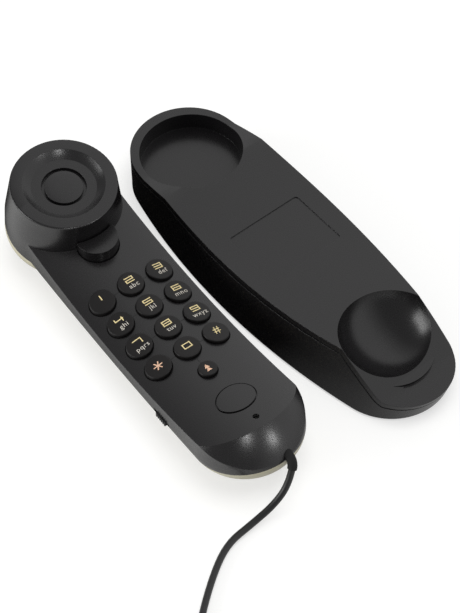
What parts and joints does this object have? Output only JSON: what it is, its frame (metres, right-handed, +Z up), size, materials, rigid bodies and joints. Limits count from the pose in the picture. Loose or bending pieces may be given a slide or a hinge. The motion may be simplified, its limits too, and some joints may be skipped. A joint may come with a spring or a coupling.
{
  "type": "corded telephone with cradle",
  "caption": "Slim corded telephone: a bent handset with its keypad and a round earpiece tower, beside the long boat-shaped cradle that it rests in.",
  "frame": {"origin": "middle of the handset and cradle seen from above, on the table", "axes": "+X along the cradle from the earpiece recess to the mouthpiece bowl, +Y from the handset towards the cradle, +Z up"},
  "size_m": [0.346, 0.2152, 0.0544],
  "materials": {
    "gloss_black": "satin gloss",
    "key_black": "matte",
    "dark_plastic": "matte",
    "cream": "satin",
    "black_rubber": "matte",
    "grey_rubber": "matte",
    "board_green": "satin",
    "capsule_metal": "satin",
    "spring_steel": "bright",
    "ballast_steel": "plain",
    "brass": "plain",
    "cord_black": "satin",
    "clear_plug": "clear"
  },
  "bodies": {
    "cradle": {"cradle_tray": "gloss_black", "cradle_hull": "gloss_black", "cradle_base_plate": "dark_plastic", "cradle_ballast": "ballast_steel", "cradle_feet": "black_rubber", "cradle_screws": "spring_steel", "line_cord": "cord_black", "cord_coil": "cord_black", "cord_tie": "cord_black", "line_plug": "clear_plug"},
    "handset": {"handset_front_cover": "gloss_black", "handset_back_cover": "cream", "earpiece_disc": "gloss_black", "receiver_capsule": "capsule_metal", "oval_badge": "gloss_black", "keypad_mat": "grey_rubber", "main_board": "board_green", "hook_switch": "dark_plastic", "hook_spring": "spring_steel", "microphone": "capsule_metal", "microphone_boot": "black_rubber", "slide_switch": "dark_plastic", "ringer_disc": "brass", "cover_screws": "spring_steel", "cord_gland": "black_rubber"},
    "key_1": {"key_1": "key_black"},
    "key_2": {"key_2": "key_black"},
    "key_3": {"key_3": "key_black"},
    "key_4": {"key_4": "key_black"},
    "key_5": {"key_5": "key_black"},
    "key_6": {"key_6": "key_black"},
    "key_7": {"key_7": "key_black"},
    "key_8": {"key_8": "key_black"},
    "key_9": {"key_9": "key_black"},
    "key_star": {"key_star": "key_black"},
    "key_0": {"key_0": "key_black"},
    "key_hash": {"key_hash": "key_black"},
    "redial_key": {"redial_key": "key_black"},
    "hook_plunger": {"hook_plunger": "gloss_black"},
    "ringer_slide": {"ringer_slide": "dark_plastic"}
  },
  "joints": [
    {"name": "handset_lift", "type": "slide", "parent": "cradle", "child": "handset", "axis": [0, 0, 1], "range_m": [0, 0.15]},
    {"name": "key_1_press", "type": "slide", "parent": "handset", "child": "key_1", "axis": [0, 0, -1], "range_m": [0, 0.0012], "stiffness_N_per_m": 300, "springref_m": -0.001},
    {"name": "key_2_press", "type": "slide", "parent": "handset", "child": "key_2", "axis": [0, 0, -1], "range_m": [0, 0.0012], "stiffness_N_per_m": 300, "springref_m": -0.001},
    {"name": "key_3_press", "type": "slide", "parent": "handset", "child": "key_3", "axis": [0, 0, -1], "range_m": [0, 0.0012], "stiffness_N_per_m": 300, "springref_m": -0.001},
    {"name": "key_4_press", "type": "slide", "parent": "handset", "child": "key_4", "axis": [0, 0, -1], "range_m": [0, 0.0012], "stiffness_N_per_m": 300, "springref_m": -0.001},
    {"name": "key_5_press", "type": "slide", "parent": "handset", "child": "key_5", "axis": [0, 0, -1], "range_m": [0, 0.0012], "stiffness_N_per_m": 300, "springref_m": -0.001},
    {"name": "key_6_press", "type": "slide", "parent": "handset", "child": "key_6", "axis": [0, 0, -1], "range_m": [0, 0.0012], "stiffness_N_per_m": 300, "springref_m": -0.001},
    {"name": "key_7_press", "type": "slide", "parent": "handset", "child": "key_7", "axis": [0, 0, -1], "range_m": [0, 0.0012], "stiffness_N_per_m": 300, "springref_m": -0.001},
    {"name": "key_8_press", "type": "slide", "parent": "handset", "child": "key_8", "axis": [0, 0, -1], "range_m": [0, 0.0012], "stiffness_N_per_m": 300, "springref_m": -0.001},
    {"name": "key_9_press", "type": "slide", "parent": "handset", "child": "key_9", "axis": [0, 0, -1], "range_m": [0, 0.0012], "stiffness_N_per_m": 300, "springref_m": -0.001},
    {"name": "key_star_press", "type": "slide", "parent": "handset", "child": "key_star", "axis": [0, 0, -1], "range_m": [0, 0.0012], "stiffness_N_per_m": 300, "springref_m": -0.001},
    {"name": "key_0_press", "type": "slide", "parent": "handset", "child": "key_0", "axis": [0, 0, -1], "range_m": [0, 0.0012], "stiffness_N_per_m": 300, "springref_m": -0.001},
    {"name": "key_hash_press", "type": "slide", "parent": "handset", "child": "key_hash", "axis": [0, 0, -1], "range_m": [0, 0.0012], "stiffness_N_per_m": 300, "springref_m": -0.001},
    {"name": "redial_key_press", "type": "slide", "parent": "handset", "child": "redial_key", "axis": [0, 0, -1], "range_m": [0, 0.0012], "stiffness_N_per_m": 300, "springref_m": -0.001},
    {"name": "hook_press", "type": "slide", "parent": "handset", "child": "hook_plunger", "axis": [0, 0, -1], "range_m": [0, 0.0035], "stiffness_N_per_m": 150, "springref_m": -0.003, "deforming": ["hook_spring"]},
    {"name": "ringer_slide_move", "type": "slide", "parent": "handset", "child": "ringer_slide", "axis": [0.9987, -0.0516, 0], "range_m": [-0.002, 0.002]}
  ]
}
